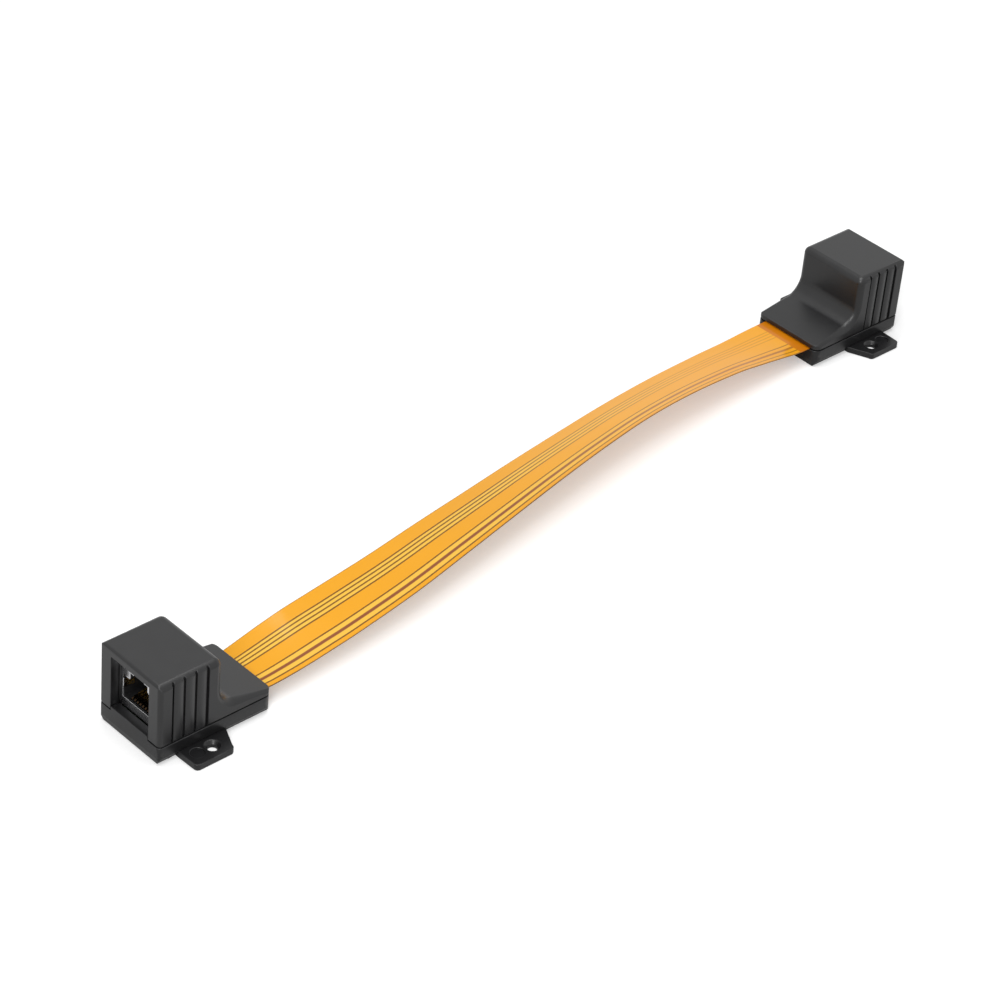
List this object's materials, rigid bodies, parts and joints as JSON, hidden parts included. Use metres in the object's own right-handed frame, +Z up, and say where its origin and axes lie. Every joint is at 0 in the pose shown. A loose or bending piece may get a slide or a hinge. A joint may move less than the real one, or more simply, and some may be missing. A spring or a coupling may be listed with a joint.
{
  "type": "flat ethernet pass-through cable",
  "caption": "Flat amber ribbon cable between screw-down dark plastic housings, each with a shielded network socket, for passing a network line under a window or door.",
  "frame": {"origin": "midway between the housings, on the surface they are screwed to", "axes": "+X from the left housing to the right one, along the cable; +Z up from the mounting surface; each socket faces outwards along X"},
  "size_m": [0.292, 0.0632, 0.0238],
  "materials": {
    "shell": "satin moulded dark grey",
    "tinned_sheet": "bright tin plating",
    "black_plastic": "matte black",
    "gold_contact": "bright gold plating",
    "board_laminate": "black solder mask",
    "stiffener_film": "amber film",
    "screw_steel": "plain zinc",
    "ribbon_film": "glossy amber film over copper"
  },
  "bodies": {
    "root": {"left_cover": "shell", "left_base": "shell", "left_shield": "tinned_sheet", "left_insulator": "black_plastic", "left_contact_insert": "black_plastic", "left_contacts": "gold_contact", "left_board": "board_laminate", "left_stiffener": "stiffener_film", "left_screws": "screw_steel", "right_cover": "shell", "right_base": "shell", "right_shield": "tinned_sheet", "right_insulator": "black_plastic", "right_contact_insert": "black_plastic", "right_contacts": "gold_contact", "right_board": "board_laminate", "right_stiffener": "stiffener_film", "right_screws": "screw_steel", "ribbon": "ribbon_film"}
  },
  "joints": []
}
